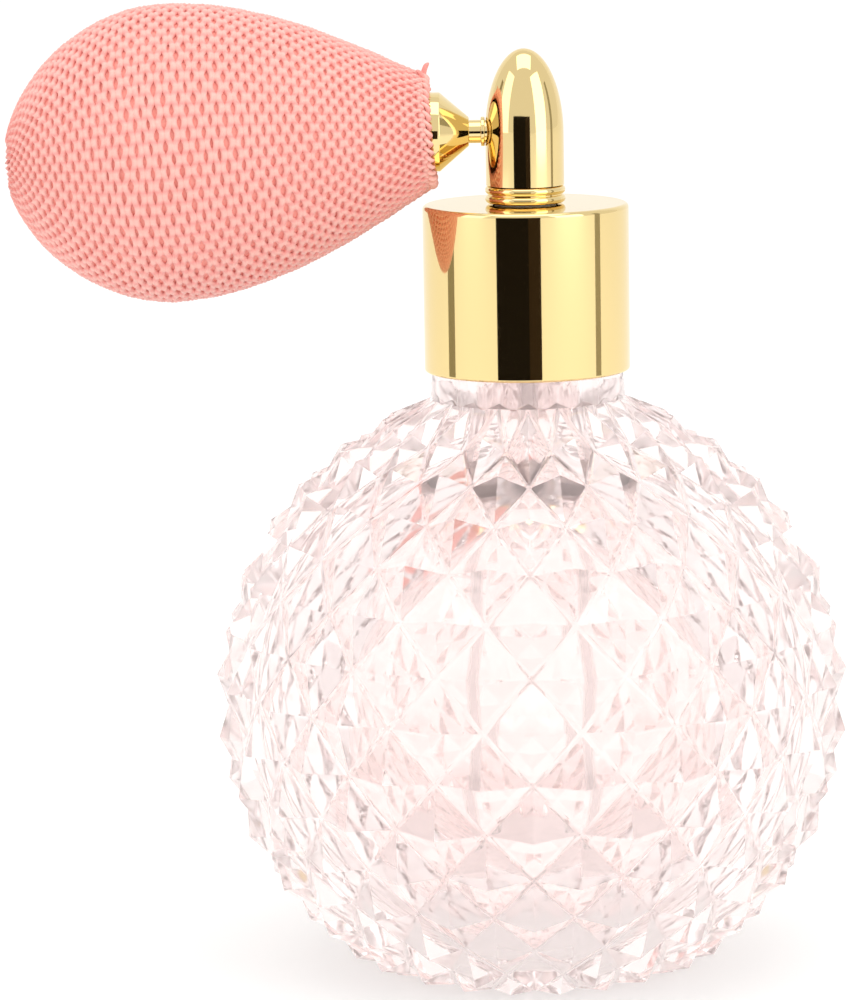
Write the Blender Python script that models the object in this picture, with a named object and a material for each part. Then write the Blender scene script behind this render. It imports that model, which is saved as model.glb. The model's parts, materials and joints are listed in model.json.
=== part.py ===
"""Perfume atomiser: a cut-glass bottle, a screwed-on spray head and a squeeze bulb in a knit cover.

The bottle stands on z = 0 with its axis on Z. The bulb hangs out towards -X and the spray leaves
towards +X. Run it with: blender --background --python part.py
"""

import math

import bmesh
import bpy

MM = 0.001
ROUND = 40  # facets round a turned piece
FINE = 18  # facets round a small inner piece

# Fits, in millimetres
SEAT = 0.05  # between two faces that bear on each other
FIT = 0.2  # round a piece that is pressed, glued or screwed into another
RUN = 0.25  # round a piece that moves in or over another

# Bottle
TIP_RADIUS = 40.0  # to the points of the cut pyramids
CUT_DEPTH = 2.2  # how far the valleys lie below the points
COLUMNS = 20  # pyramids round the bottle
ROW_STEP = 9.7  # degrees of latitude from one row of crossings to the next
FOOT_RADIUS = 16.5  # where the ground base meets the valleys
WALL = 8.0  # from the valleys to the inside
BORE_RADIUS = 6.5
FINISH_WALL = 2.3
FINISH_RADIUS = BORE_RADIUS + FINISH_WALL  # the narrower threaded end
FINISH_HEIGHT = 15.3
NECK_STEP = 3.2  # from the threaded end out to the plain neck
NECK_RADIUS = FINISH_RADIUS + NECK_STEP
NECK_RISE = 4.4  # plain neck above the cut ball
THREAD_DEPTH = 1.0
THREAD_PITCH = 3.0
THREAD_TURNS = 1.6
THREAD_ROOT = 0.4  # how deep the ridge is rooted in the neck's wall
LIP = 0.5  # rounding of the mouth

# Collar
COLLAR_WALL = 0.7
COLLAR_RADIUS = NECK_RADIUS + FIT + COLLAR_WALL
COLLAR_DROP = 0.8  # how far its lower edge hangs over the plain neck
LINER_LIP = 0.8  # the liner's inward lip, which holds the flange down
COLLAR_TOP = 1.2
COLLAR_EDGE = 0.5

# Head
GASKET = 1.3
FLANGE = 1.2
PLUG_DEPTH = 6.0  # how far the head's plug reaches into the neck
CORE_RADIUS = 3.9
DOME_GAP = 0.35  # between the core and the dome, where the seal grips
DOME_WALL = 0.65
DOME_INSIDE = CORE_RADIUS + DOME_GAP
DOME_RADIUS = DOME_INSIDE + DOME_WALL
DOME_HEIGHT = 16.95
DOME_CROWN = 10.5  # height of the rounded crown
DOME_ROUNDING = 2.0  # exponent of the crown's curve
RING_PROUD = 0.15  # how far the ring stands out from the dome
RING_RADIUS = DOME_RADIUS + RING_PROUD
RING_HEIGHT = 2.2
SEAL_GROOVE = 0.4  # how deep the seal's groove is cut in the core
ORIFICE_RISE = 9.05  # spray axis above the collar's top
TUBE_BORE = 0.7
TUBE_WALL = 0.6
TUBE_RADIUS = TUBE_BORE + TUBE_WALL
TUBE_STANDOFF = 2.2  # dip tube's end above the inside of the base
TUBE_SOCKET = 12.0
TIP_TUBE_BORE = 0.35
TIP_TUBE_WALL = 0.55
TIP_TUBE_RADIUS = TIP_TUBE_BORE + TIP_TUBE_WALL
ORIFICE_RADIUS = 0.25
AIR_BORE = 0.6  # of the stem and of the way through the core
NOZZLE_WALL = 0.65
NOZZLE_RADIUS = AIR_BORE + NOZZLE_WALL
NOZZLE_LENGTH = 1.75
SPRAY_HOLE = 0.6  # through the dome, in front of the nozzle

# Fitting between the head and the bulb, along its own axis
STEM_WALL = 0.85
STEM_RADIUS = AIR_BORE + STEM_WALL
CORE_WEB = 1.2  # left of the core between the stem's end and the liquid tube
WASHER_RIM = 0.4
WASHER_RADIUS = STEM_RADIUS + WASHER_RIM
WASHER_LENGTH = 0.5
STEM_SHOWN = 1.45
BALL_RADIUS = 1.4
BALL_TRAVEL = 0.5
BALL_LEDGE = 0.5  # how far the seat reaches in under the ball
BALL_HOLE = BALL_RADIUS - BALL_LEDGE
BALL_GAP = 0.5  # round the ball, for the air to pass
CHAMBER_RADIUS = BALL_RADIUS + BALL_GAP
VALVE_DISC = 0.8
BARB_WALL = 0.65
BARB_RADIUS = CHAMBER_RADIUS + BARB_WALL
BARB_BITE = 0.25
BARB_BEYOND = 5.3  # past the funnel's rim
RUBBER_NECK_WALL = 0.9
RUBBER_NECK = BARB_RADIUS + BARB_BITE + RUN + SEAT + RUBBER_NECK_WALL
FUNNEL_LIP = 0.35
FUNNEL_SMALL = STEM_RADIUS + FUNNEL_LIP
FUNNEL_WALL = 0.6
FUNNEL_RIM = RUBBER_NECK + RUN + FIT / 2 + FUNNEL_WALL
FUNNEL_CONE = 3.7
FUNNEL_BAND = 1.5
FUNNEL_SOCKET = FUNNEL_CONE / 2  # how deep the stem is screwed in

# Bulb, along its drooping axis
DROOP = 4.0  # degrees
PIVOT_BEYOND = 1.35  # flexing point of the rubber neck, past the funnel's rim
COVER_LENGTH = 52.6
COVER_BELLY = 18.6
COVER_BELLY_AT = COVER_LENGTH * 0.618
COVER_TAIL_ROUNDING = 1.85
COVER_WALL = 1.6
COVER_HOLE = 1.5
COVER_MOUTH = FUNNEL_RIM + 2 * RUN
COVER_HEM = 1.75  # thickness of the gathered front edge
COVER_NECK = COVER_MOUTH + COVER_HEM
NECK_IN_FUNNEL = 1.0
NECK_PAST_BARB = 1.1
RUBBER_WALL = 1.7
CLAMP_WIDTH = 2.0
CLAMP_WALL = 0.6
CORD_RADIUS = 0.45
VALVE_BODY_WALL = 1.4
VALVE_BODY_RADIUS = CHAMBER_RADIUS + VALVE_BODY_WALL
VALVE_PLUG = 2.7  # solid end of the valve's body, beyond the ball's seat
VALVE_FLANGE = 1.2
VALVE_FLANGE_LENGTH = 1.0

# Heights and distances that follow from the sizes above
BODY_RADIUS = TIP_RADIUS - CUT_DEPTH
CENTRE = math.sqrt(BODY_RADIUS**2 - FOOT_RADIUS**2)
INSIDE_RADIUS = BODY_RADIUS - WALL
NECK_START = CENTRE + math.sqrt(TIP_RADIUS**2 - NECK_RADIUS**2)
TOP_ROW = math.degrees(math.acos(NECK_RADIUS / TIP_RADIUS))  # latitude of the neck's ring
SHOULDER = NECK_START + NECK_RISE
MOUTH = SHOULDER + FINISH_HEIGHT
COLLAR_BASE = SHOULDER - COLLAR_DROP
GASKET_BASE = MOUTH + SEAT
FLANGE_BASE = GASKET_BASE + GASKET + SEAT
FLANGE_CROWN = FLANGE_BASE + FLANGE
COLLAR_CROWN = FLANGE_CROWN + RUN / 2 + LINER_LIP + SEAT + COLLAR_TOP
RING_BASE = COLLAR_CROWN + RUN / 2
DOME_BASE = RING_BASE + RING_HEIGHT + SEAT
DOME_CROWN_TIP = DOME_BASE + DOME_HEIGHT
SEAL_RADIUS = (DOME_INSIDE - CORE_RADIUS + SEAL_GROOVE) / 2 - SEAT
SEAL_AT = DOME_BASE + 4 * SEAL_RADIUS
SPRAY_AXIS = COLLAR_CROWN + ORIFICE_RISE
NOZZLE_FRONT = math.sqrt(DOME_INSIDE**2 - NOZZLE_RADIUS**2) - SEAT
STEM_FROM = TIP_TUBE_RADIUS + FIT / 2 + CORE_WEB
WASHER_AT = DOME_RADIUS + SEAT
FUNNEL_AT = WASHER_AT + WASHER_LENGTH + STEM_SHOWN
RIM_AT = FUNNEL_AT + FUNNEL_CONE + FUNNEL_BAND
PIVOT_AT = RIM_AT + PIVOT_BEYOND
COVER_AT = -PIVOT_BEYOND + SEAT  # from the pivot, as is every place along the bulb


def clear_scene():
    for thing in list(bpy.data.objects):
        bpy.data.objects.remove(thing)


def finish(name, colour, roughness, metallic=0.0, transmission=0.0):
    made = bpy.data.materials.new(name)
    made.use_nodes = True
    shader = made.node_tree.nodes["Principled BSDF"]
    shader.inputs["Base Color"].default_value = (*colour, 1.0)
    shader.inputs["Roughness"].default_value = roughness
    shader.inputs["Metallic"].default_value = metallic
    shader.inputs["Transmission Weight"].default_value = transmission
    made.diffuse_color = (*colour, 1.0)
    return made


def arc(radius, height, size, start, end, steps=4):
    """Points of a round stretch about (radius, height), from one angle in degrees to another."""
    turns = [math.radians(start + (end - start) * i / steps) for i in range(steps + 1)]
    return [(radius + size * math.cos(t), height + size * math.sin(t)) for t in turns]


def tube(inner, outer, low, high):
    """The outline of a plain ring or tube."""
    return [(inner, low), (outer, low), (outer, high), (inner, high)]


def keep(name, bm, material, parent=None):
    """Turns a bmesh into a named object with outward faces and smooth rounds."""
    bmesh.ops.recalc_face_normals(bm, faces=bm.faces)
    mesh = bpy.data.meshes.new(name)
    bm.to_mesh(mesh)
    bm.free()
    mesh.shade_smooth()
    mesh.set_sharp_from_angle(angle=math.radians(20))
    mesh.materials.append(material)
    made = bpy.data.objects.new(name, mesh)
    bpy.context.scene.collection.objects.link(made)
    made.parent = parent
    return made


def turned(name, outline, material, parent=None, facets=ROUND):
    """Spins an outline of (radius, height) points in mm about the local Z axis."""
    bm = bmesh.new()
    points = [bm.verts.new((r * MM, 0, h * MM)) for r, h in outline]
    edges = [bm.edges.new(pair) for pair in zip(points, points[1:])]
    if outline[0][0] > 0 or outline[-1][0] > 0:
        edges.append(bm.edges.new((points[-1], points[0])))
    bmesh.ops.spin(
        bm,
        geom=points + edges,
        axis=(0, 0, 1),
        cent=(0, 0, 0),
        angle=2 * math.pi,
        steps=facets,
        use_merge=True,
    )
    bmesh.ops.remove_doubles(bm, verts=bm.verts, dist=1e-7)
    on_axis = [edge for edge in bm.edges if not edge.link_faces]
    bmesh.ops.delete(bm, geom=on_axis, context="EDGES")
    return keep(name, bm, material, parent)


def axis_frame(name, parent, height, tilt):
    """An empty on a joint's axis: height in mm up its parent's Z, tilt in degrees about Y."""
    frame = bpy.data.objects.new(name, None)
    bpy.context.scene.collection.objects.link(frame)
    frame.parent = parent
    frame.location = (0, 0, height * MM)
    frame.rotation_euler = (0, math.radians(tilt), 0)
    frame.empty_display_size = 0.01
    return frame


def use(target, tool, operation="DIFFERENCE"):
    """A live exact Boolean with a hidden tool."""
    tool.hide_render = True
    tool.display_type = "WIRE"
    step = target.modifiers.new(tool.name, "BOOLEAN")
    step.object = tool
    step.operation = operation
    step.solver = "EXACT"


def drill(target, radius, low, high, material, parent, offset=0.0, turn=0.0):
    """A straight round hole along parent's Z, offset from it by a distance at an angle."""
    outline = [(0, low), (radius, low), (radius, high), (0, high)]
    name = f"drill_{target.name}_{len(target.modifiers)}"
    tool = turned(name, outline, material, parent, FINE)
    angle = math.radians(turn)
    tool.location = (offset * MM * math.cos(angle), offset * MM * math.sin(angle), 0)
    use(target, tool)


# ---- Bottle ----


def lattice_point(row, half, radius):
    """A point of the cutting pattern: row of latitude, half column of longitude, radius in mm."""
    latitude = math.radians(TOP_ROW - ROW_STEP * row)
    longitude = math.radians(180 / COLUMNS * half)
    across = radius * math.cos(latitude) * MM
    height = (CENTRE + radius * math.sin(latitude)) * MM
    return (across * math.cos(longitude), across * math.sin(longitude), height)


def ring(bm, radius, height):
    """One circle of points, one on each half column."""
    count = 2 * COLUMNS
    turns = [2 * math.pi * i / count for i in range(count)]
    return [
        bm.verts.new((radius * MM * math.cos(t), radius * MM * math.sin(t), height * MM))
        for t in turns
    ]


def join_rings(bm, first, second):
    count = len(first)
    for i in range(count):
        j = (i + 1) % count
        bm.faces.new((first[i], first[j], second[j], second[i]))


def cut_pyramids(bm, neck):
    """Four-sided points in staggered rows, from the neck's ring down to below the base."""
    count = 2 * COLUMNS
    rows = math.ceil((TOP_ROW + 90) / ROW_STEP)
    crossings = {(0, half): neck[half] for half in range(0, count, 2)}
    for row in range(1, rows):
        for half in range(row % 2, count, 2):
            crossings[row, half] = bm.verts.new(lattice_point(row, half, BODY_RADIUS))
    for half in range(1, count, 2):
        low = crossings[1, half]
        left, right = neck[half - 1], neck[(half + 1) % count]
        bm.faces.new((low, neck[half], left))
        bm.faces.new((low, right, neck[half]))
    for row in range(1, rows - 1):
        for half in range((row + 1) % 2, count, 2):
            tip = bm.verts.new(lattice_point(row, half, TIP_RADIUS))
            around = [
                crossings[row - 1, half],
                crossings[row, (half - 1) % count],
                crossings[row + 1, half],
                crossings[row, (half + 1) % count],
            ]
            for first, second in zip(around, around[1:] + around[:1]):
                bm.faces.new((tip, first, second))


def neck_and_inside():
    """The outline from the plain neck over the mouth and down the bore to the inside's foot."""
    outline = arc(NECK_RADIUS - LIP, SHOULDER - LIP, LIP, 0, 90)
    outline.append((FINISH_RADIUS, SHOULDER))
    outline += arc(FINISH_RADIUS - LIP, MOUTH - LIP, LIP, 0, 90)
    outline += arc(BORE_RADIUS + LIP, MOUTH - LIP, LIP, 90, 180)
    bore_angle = math.degrees(math.acos(BORE_RADIUS / INSIDE_RADIUS))
    outline += arc(0, CENTRE, INSIDE_RADIUS, bore_angle, -87, 18)
    return outline


def thread_ridge(material):
    """The glass thread that the collar screws on: a ridge that fades out at both ends."""
    bm = bmesh.new()
    steps = math.ceil(THREAD_TURNS * ROUND)
    low = SHOULDER + (FINISH_HEIGHT - THREAD_TURNS * THREAD_PITCH) / 2
    foot = FINISH_RADIUS - THREAD_ROOT
    sections = []
    for i in range(steps + 1):
        share = i / steps
        fade = min(1.0, share * 8, (1 - share) * 8)
        crest = FINISH_RADIUS + SEAT + (THREAD_DEPTH - SEAT) * fade
        height = low + share * THREAD_TURNS * THREAD_PITCH
        turn = 2 * math.pi * THREAD_TURNS * share
        outline = [
            (foot, height - THREAD_PITCH * 0.3),
            (crest, height - THREAD_PITCH * 0.12),
            (crest, height + THREAD_PITCH * 0.12),
            (foot, height + THREAD_PITCH * 0.3),
        ]
        sections.append(
            [
                bm.verts.new((r * MM * math.cos(turn), r * MM * math.sin(turn), h * MM))
                for r, h in outline
            ]
        )
    for first, second in zip(sections, sections[1:]):
        join_rings(bm, first, second)
    bm.faces.new(sections[0])
    bm.faces.new(sections[-1])
    return keep("thread_ridge", bm, material)


def glass_bottle(material):
    bm = bmesh.new()
    neck = ring(bm, NECK_RADIUS, NECK_START)
    cut_pyramids(bm, neck)
    bmesh.ops.bisect_plane(
        bm,
        geom=bm.verts[:] + bm.edges[:] + bm.faces[:],
        dist=1e-7,
        plane_co=(0, 0, 0),
        plane_no=(0, 0, 1),
        clear_inner=True,
    )
    foot = [e for e in bm.edges if all(abs(v.co.z) < 1e-7 for v in e.verts)]
    bmesh.ops.edgeloop_fill(bm, edges=foot)
    last = neck
    for radius, height in neck_and_inside():
        circle = ring(bm, radius, height)
        join_rings(bm, last, circle)
        last = circle
    bm.faces.new(last)
    bottle = keep("glass_bottle", bm, material)
    use(bottle, thread_ridge(material), "UNION")


# ---- Collar ----


def collar_shell(material, frame):
    inner = COLLAR_RADIUS - COLLAR_WALL
    rim = COLLAR_WALL / 2
    outline = arc(COLLAR_RADIUS - rim, COLLAR_BASE + rim, rim, -180, 0, 6)
    outline += arc(COLLAR_RADIUS - COLLAR_EDGE, COLLAR_CROWN - COLLAR_EDGE, COLLAR_EDGE, 0, 90)
    outline += [
        (CORE_RADIUS + RUN, COLLAR_CROWN),
        (CORE_RADIUS + RUN, COLLAR_CROWN - COLLAR_TOP),
        (inner, COLLAR_CROWN - COLLAR_TOP),
    ]
    turned("collar_shell", outline, material, frame)


def collar_liner(material, frame):
    """The plastic thread liner, bored plain to pass the crest of the glass thread."""
    outer = COLLAR_RADIUS - COLLAR_WALL - FIT
    inner = FINISH_RADIUS + THREAD_DEPTH + RUN
    low = SHOULDER + RUN
    lip = FLANGE_CROWN + RUN / 2
    crown = COLLAR_CROWN - COLLAR_TOP - SEAT
    outline = [
        (inner, low),
        (outer, low),
        (outer, crown),
        (BORE_RADIUS, crown),
        (BORE_RADIUS, lip),
        (inner, lip),
    ]
    turned("collar_liner", outline, material, frame)


# ---- Head ----


def head_core(material, head, fitting):
    """The moulded core: a plug in the neck, a flange on the gasket and a post inside the dome."""
    post = SPRAY_AXIS + STEM_RADIUS + FIT / 2 + CORE_WEB
    groove = SEAL_AT - SEAL_RADIUS - SEAT
    groove_top = SEAL_AT + SEAL_RADIUS + SEAT
    plug = BORE_RADIUS - RUN
    socket = TUBE_RADIUS + FIT / 2
    tip_socket = TIP_TUBE_RADIUS + FIT / 2
    low = FLANGE_BASE - PLUG_DEPTH
    socket_top = low + TUBE_SOCKET
    outline = [
        (socket, low),
        (plug - LIP, low),
        (plug, low + LIP),
        (plug, FLANGE_BASE),
        (FINISH_RADIUS + THREAD_DEPTH, FLANGE_BASE),
        (FINISH_RADIUS + THREAD_DEPTH, FLANGE_CROWN),
        (CORE_RADIUS, FLANGE_CROWN),
        (CORE_RADIUS, groove),
        (CORE_RADIUS - SEAL_GROOVE, groove),
        (CORE_RADIUS - SEAL_GROOVE, groove_top),
        (CORE_RADIUS, groove_top),
        (CORE_RADIUS, post - LIP),
        (CORE_RADIUS - LIP, post),
        (0, post),
        (0, SPRAY_AXIS),
        (tip_socket, SPRAY_AXIS),
        (tip_socket, socket_top),
        (socket, socket_top),
    ]
    core = turned("head_core", outline, material, head)
    stem_end = STEM_FROM - SEAT
    nozzle_end = -(NOZZLE_FRONT - NOZZLE_LENGTH - SEAT)
    drill(core, STEM_RADIUS + FIT / 2, stem_end, 2 * DOME_RADIUS, material, fitting)
    drill(core, NOZZLE_RADIUS + FIT / 2, -2 * DOME_RADIUS, nozzle_end, material, fitting)
    drill(core, AIR_BORE, -DOME_RADIUS, DOME_RADIUS, material, fitting)


def dome_crown(radius, tip, height):
    """The bullet-shaped crown, from the straight wall up to the axis."""
    steps = 10
    points = []
    for i in range(steps + 1):
        angle = math.pi / 2 * i / steps
        power = 2 / DOME_ROUNDING
        across = radius * math.cos(angle) ** power if i < steps else 0.0
        points.append((across, tip - height + height * math.sin(angle) ** power))
    return points


def dome_shell(material, head, fitting):
    outside = dome_crown(DOME_RADIUS, DOME_CROWN_TIP, DOME_CROWN)
    inside = dome_crown(DOME_INSIDE, DOME_CROWN_TIP - DOME_WALL, DOME_CROWN - DOME_WALL)
    wall = [(DOME_INSIDE, DOME_BASE), (DOME_RADIUS, DOME_BASE)]
    dome = turned("dome_shell", inside[::-1] + wall + outside, material, head)
    drill(dome, STEM_RADIUS + FIT / 2, 0, 2 * DOME_RADIUS, material, fitting)
    drill(dome, SPRAY_HOLE, -2 * DOME_RADIUS, 0, material, fitting)


def head_trim(gold, rubber, head):
    """The ring under the dome, the seal round the core and the gasket on the mouth."""
    bead = RING_HEIGHT / 4
    outline = [(CORE_RADIUS + FIT / 2, RING_BASE)]
    outline += arc(RING_RADIUS - bead, RING_BASE + bead, bead, -90, 60)
    outline += arc(RING_RADIUS - bead, RING_BASE + RING_HEIGHT - bead, bead, -60, 90)
    outline.append((CORE_RADIUS + FIT / 2, RING_BASE + RING_HEIGHT))
    turned("dome_base_ring", outline, gold, head)
    seal = arc(DOME_INSIDE - SEAT - SEAL_RADIUS, SEAL_AT, SEAL_RADIUS, 0, 315, 7)
    turned("dome_seal_ring", seal, rubber, head)
    outer = FINISH_RADIUS + THREAD_DEPTH
    gasket = tube(BORE_RADIUS, outer, GASKET_BASE, GASKET_BASE + GASKET)
    turned("neck_gasket", gasket, rubber, head)


def liquid_path(plastic, brass, head):
    """The dip tube and the fine brass tube that carries the perfume on up to the spray axis."""
    foot = CENTRE - INSIDE_RADIUS + TUBE_STANDOFF
    socket_top = FLANGE_BASE - PLUG_DEPTH + TUBE_SOCKET
    dip = tube(TUBE_BORE, TUBE_RADIUS, foot, socket_top - SEAT)
    turned("dip_tube", dip, plastic, head, FINE)
    tip_top = SPRAY_AXIS - max(AIR_BORE, TIP_TUBE_RADIUS) - SEAT
    tip = tube(TIP_TUBE_BORE, TIP_TUBE_RADIUS, socket_top + SEAT, tip_top)
    turned("liquid_tip", tip, brass, head, FINE)


def nozzle_insert(material, fitting):
    """The spray disc behind the dome's hole, with a hollow behind its orifice."""
    back = -(NOZZLE_FRONT - NOZZLE_LENGTH)
    plate = -(NOZZLE_FRONT - NOZZLE_LENGTH / 3)
    outline = [
        (ORIFICE_RADIUS, -NOZZLE_FRONT),
        (NOZZLE_RADIUS, -NOZZLE_FRONT),
        (NOZZLE_RADIUS, back),
        (AIR_BORE, back),
        (AIR_BORE, plate),
        (ORIFICE_RADIUS, plate),
    ]
    turned("nozzle_insert", outline, material, fitting, FINE)


# ---- Fitting ----


def stem_and_washer(material, fitting):
    stem = tube(AIR_BORE, STEM_RADIUS, STEM_FROM, FUNNEL_AT + FUNNEL_SOCKET - SEAT)
    turned("air_stem", stem, material, fitting, FINE)
    hole = STEM_RADIUS + FIT / 2
    washer = tube(hole, WASHER_RADIUS, WASHER_AT, WASHER_AT + WASHER_LENGTH)
    turned("stem_washer", washer, material, fitting, FINE)


def funnel(material, turning):
    """The cone that screws on the stem and cups the rubber neck."""
    floor = FUNNEL_AT + FUNNEL_SOCKET
    rim_inside = FUNNEL_RIM - FUNNEL_WALL
    outline = [
        (STEM_RADIUS + RUN / 2, FUNNEL_AT),
        (FUNNEL_SMALL, FUNNEL_AT),
        (FUNNEL_RIM, FUNNEL_AT + FUNNEL_CONE),
        (FUNNEL_RIM, RIM_AT - FUNNEL_WALL / 3),
        (FUNNEL_RIM - FUNNEL_WALL / 3, RIM_AT),
        (rim_inside, RIM_AT),
        (rim_inside, FUNNEL_AT + FUNNEL_CONE),
        (BARB_RADIUS + RUN, floor),
        (STEM_RADIUS + RUN / 2, floor),
    ]
    turned("funnel", outline, material, turning)


def outlet_valve(brass, steel, turning):
    """The barbed tube that the rubber neck is pushed on, with the outlet valve in its bore."""
    start = FUNNEL_AT + FUNNEL_SOCKET + SEAT
    end = RIM_AT + BARB_BEYOND
    chamber = start + VALVE_DISC
    outline = [
        (AIR_BORE, start),
        (BARB_RADIUS, start),
        (BARB_RADIUS, end - 4 * BARB_BITE - 1.5),
        (BARB_RADIUS + BARB_BITE, end - 4 * BARB_BITE - 1.5),
        (BARB_RADIUS, end - 1.5),
        (BARB_RADIUS + BARB_BITE, end - 1.5),
        (BARB_RADIUS - BARB_BITE, end),
        (CHAMBER_RADIUS, end),
        (CHAMBER_RADIUS, chamber),
        (AIR_BORE, chamber),
    ]
    turned("bulb_barb", outline, brass, turning, FINE)
    stop_at = chamber + SEAT
    ball_at = stop_at + VALVE_DISC + BALL_TRAVEL + BALL_RADIUS + SEAT
    seat_at = ball_at + math.sqrt(BALL_RADIUS**2 - BALL_HOLE**2) + SEAT
    disc = CHAMBER_RADIUS - FIT / 2
    valve_stop("outlet_valve_stop", stop_at, disc, brass, turning)
    ring_seat = tube(BALL_HOLE, disc, seat_at, seat_at + VALVE_DISC)
    turned("outlet_valve_seat", ring_seat, brass, turning, FINE)
    valve_ball("outlet_valve_ball", ball_at, steel, turning)


def valve_stop(name, at, radius, material, frame):
    """A disc with a solid middle that stops the ball and four small holes that pass the air."""
    outline = [(0, at), (radius, at), (radius, at + VALVE_DISC), (0, at + VALVE_DISC)]
    stop = turned(name, outline, material, frame, FINE)
    hole = radius / 5
    for turn in range(0, 360, 90):
        beyond = VALVE_DISC
        drill(stop, hole, at - beyond, at + 2 * beyond, material, frame, radius * 0.7, turn)


def valve_ball(name, at, material, frame):
    ball = turned(name, arc(0, 0, BALL_RADIUS, -90, 90, 8), material, frame, FINE)
    ball.location = (0, 0, at * MM)


# ---- Bulb ----


def bulb_outline(inset, front):
    """The bulb's swelling outline, drawn in by an inset, from a distance in front to the tail."""
    steps = 10
    points = []
    for i in range(steps):
        along = front + (COVER_BELLY_AT - front) * i / steps
        swell = math.sin(math.pi / 2 * along / COVER_BELLY_AT)
        radius = COVER_NECK + (COVER_BELLY - COVER_NECK) * swell - inset
        points.append((radius, COVER_AT + along))
    back = COVER_LENGTH - COVER_BELLY_AT - inset
    power = 2 / COVER_TAIL_ROUNDING
    for i in range(steps + 1):
        angle = math.pi / 2 * i / (steps + 1)
        radius = (COVER_BELLY - inset) * math.cos(angle) ** power
        along = COVER_BELLY_AT + back * math.sin(angle) ** power
        points.append((radius, COVER_AT + along))
    return points


def tail_at(inset, radius):
    """Where the outline drawn in by that inset comes down to that radius, near the tail."""
    share = radius / (COVER_BELLY - inset)
    along = (1 - share**COVER_TAIL_ROUNDING) ** (1 / COVER_TAIL_ROUNDING)
    return COVER_AT + COVER_BELLY_AT + (COVER_LENGTH - COVER_BELLY_AT - inset) * along


def down_to(outline, radius, inset):
    """The outline with its tail cut off at a round hole of that radius."""
    tail = COVER_AT + COVER_BELLY_AT
    kept = [(r, h) for r, h in outline if h <= tail or r > radius * 1.05]
    return kept + [(radius, tail_at(inset, radius))]


def knit_cover(material, bulb):
    """The knit cover as a soft shell, open where it is gathered round the funnel's rim."""
    lip = COVER_HEM / 2
    front = arc(COVER_MOUTH + lip, COVER_AT + lip, lip, -180, -20, 6)
    outer = down_to(bulb_outline(0, lip), COVER_HOLE, 0)
    inner = down_to(bulb_outline(COVER_WALL, COVER_WALL), COVER_HOLE, COVER_WALL)
    turned("knit_cover", front + outer + inner[::-1], material, bulb)


def rubber_bulb(material, bulb):
    """The hollow rubber bulb: a straight neck on the barb, the belly and a hole for the valve."""
    inset = COVER_WALL + FIT
    start = COVER_AT - NECK_IN_FUNNEL
    neck_end = COVER_AT + BARB_BEYOND + NECK_PAST_BARB
    belly = neck_end - COVER_AT + 4.0
    hole = VALVE_BODY_RADIUS + FIT / 2
    neck_inside = RUBBER_NECK - RUBBER_NECK_WALL
    outer = down_to(bulb_outline(inset, belly), hole, inset)
    inner = down_to(bulb_outline(inset + RUBBER_WALL, belly), hole, inset + RUBBER_WALL)
    outline = [(neck_inside, start), (RUBBER_NECK, start), (RUBBER_NECK, neck_end)]
    outline += outer + inner[::-1] + [(neck_inside, neck_end + RUBBER_WALL)]
    turned("rubber_bulb", outline, material, bulb)


def cover_cord(material, bulb):
    """The yarn drawn tight along the cover's front edge."""
    middle = COVER_MOUTH + COVER_HEM / 2
    at = COVER_AT - CORD_RADIUS - SEAT
    turned("cover_drawstring", arc(middle, at, CORD_RADIUS, 0, 315, 7), material, bulb)


def neck_clamp(material, turning):
    inner = RUBBER_NECK + 2 * RUN
    low = RIM_AT + RUN
    band = tube(inner, inner + CLAMP_WALL, low, low + CLAMP_WIDTH)
    turned("neck_clamp", band, material, turning)


def intake_valve(brass, steel, tail):
    """The plug in the bulb's tail, whose ball lets air in and shuts when the bulb is squeezed."""
    end = tail_at(COVER_WALL, VALVE_BODY_RADIUS) - RUN
    flange = VALVE_BODY_RADIUS + VALVE_FLANGE
    seat_at = end - VALVE_PLUG
    ball_at = seat_at - math.sqrt(BALL_RADIUS**2 - BALL_HOLE**2) - SEAT
    stop_at = ball_at - SEAT - BALL_RADIUS - BALL_TRAVEL - VALVE_DISC
    start = stop_at - SEAT
    outline = [
        (CHAMBER_RADIUS, start),
        (flange, start),
        (flange, start + VALVE_FLANGE_LENGTH),
        (VALVE_BODY_RADIUS, start + VALVE_FLANGE_LENGTH),
        (VALVE_BODY_RADIUS, end),
        (BALL_HOLE, end),
        (BALL_HOLE, seat_at),
        (CHAMBER_RADIUS, seat_at),
    ]
    turned("intake_valve_body", outline, brass, tail, FINE)
    valve_stop("intake_valve_stop", stop_at, CHAMBER_RADIUS - FIT / 2, brass, tail)
    valve_ball("intake_valve_ball", ball_at, steel, tail)


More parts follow.
